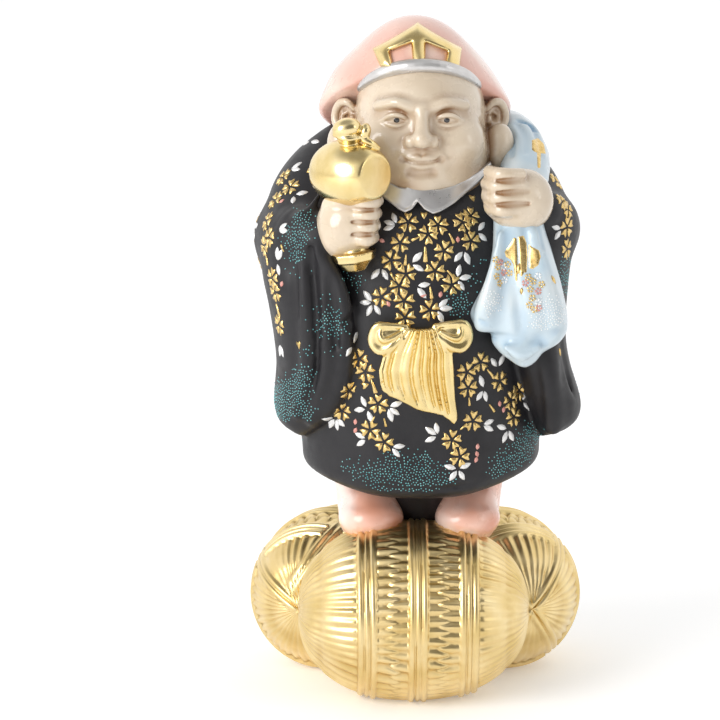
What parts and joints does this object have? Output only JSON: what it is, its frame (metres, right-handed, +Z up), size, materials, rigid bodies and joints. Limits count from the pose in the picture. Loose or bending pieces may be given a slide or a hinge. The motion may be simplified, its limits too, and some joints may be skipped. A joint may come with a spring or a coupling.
{
  "type": "daikoku figure",
  "caption": "Standing Daikoku ornament of painted cast porcelain, with a lucky mallet and a treasure sack, on three straw rice bales.",
  "frame": {"origin": "on the ground under the middle of the bales, in the flat underside", "axes": "+Z up, the figure faces -Y, its left hand with the sack is at +X"},
  "size_m": [0.15, 0.1402, 0.296],
  "materials": {
    "robe_black": "matte black overglaze",
    "gold_lustre": "burnished gold lustre",
    "silver_lustre": "silver lustre",
    "skin_glaze": "glossy ivory glaze with brown shading",
    "pink_glaze": "glossy pink glaze",
    "sack_blue": "glossy pale blue glaze",
    "blossom_gold": "raised gold enamel",
    "leaf_silver": "raised silver enamel",
    "bud_pink": "raised pink enamel",
    "dot_teal": "raised teal enamel",
    "dot_white": "raised white enamel",
    "eye_black": "glossy black glaze"
  },
  "bodies": {
    "root": {"daikoku_figure": "robe_black"}
  },
  "joints": []
}
